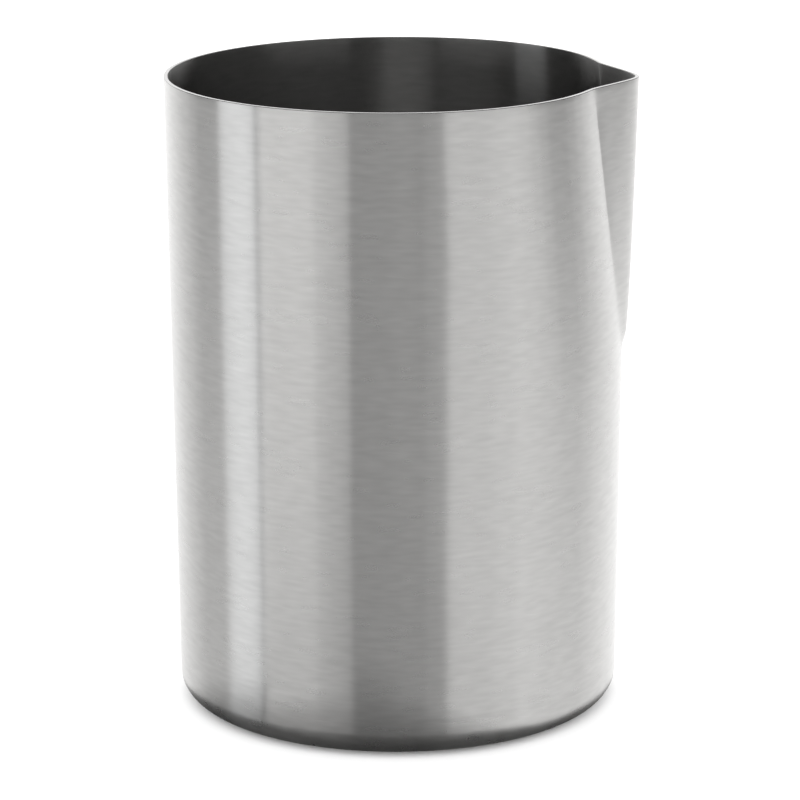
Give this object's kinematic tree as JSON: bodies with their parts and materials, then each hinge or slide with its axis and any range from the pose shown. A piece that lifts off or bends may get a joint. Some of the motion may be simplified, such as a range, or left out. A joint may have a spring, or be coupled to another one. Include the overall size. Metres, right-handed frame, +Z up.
{
  "type": "mixing glass",
  "caption": "Brushed steel bar mixing vessel, a slightly tapered cylinder with a V-shaped pouring spout pressed into its lip and a weighted double bottom.",
  "frame": {"origin": "middle of the base's flat underside, on the vessel's axis", "axes": "+Z up along the vessel's axis, +X towards the pouring spout, +Y to the left of the spout"},
  "size_m": [0.0921, 0.09, 0.125],
  "materials": {
    "outer_steel": "brushed round the vessel, satin",
    "inner_steel": "brushed in circles, satin",
    "weld_metal": "weld ground flush and brushed",
    "ballast_iron": "turned, unpainted",
    "bedding_silicone": "matt"
  },
  "bodies": {
    "root": {"spouted_wall": "outer_steel", "wall_seam_weld": "weld_metal", "base_dish": "outer_steel", "base_weld": "weld_metal", "ballast_pad": "bedding_silicone", "ballast_disc": "ballast_iron", "floor_plate": "inner_steel", "floor_weld": "weld_metal"}
  },
  "joints": []
}
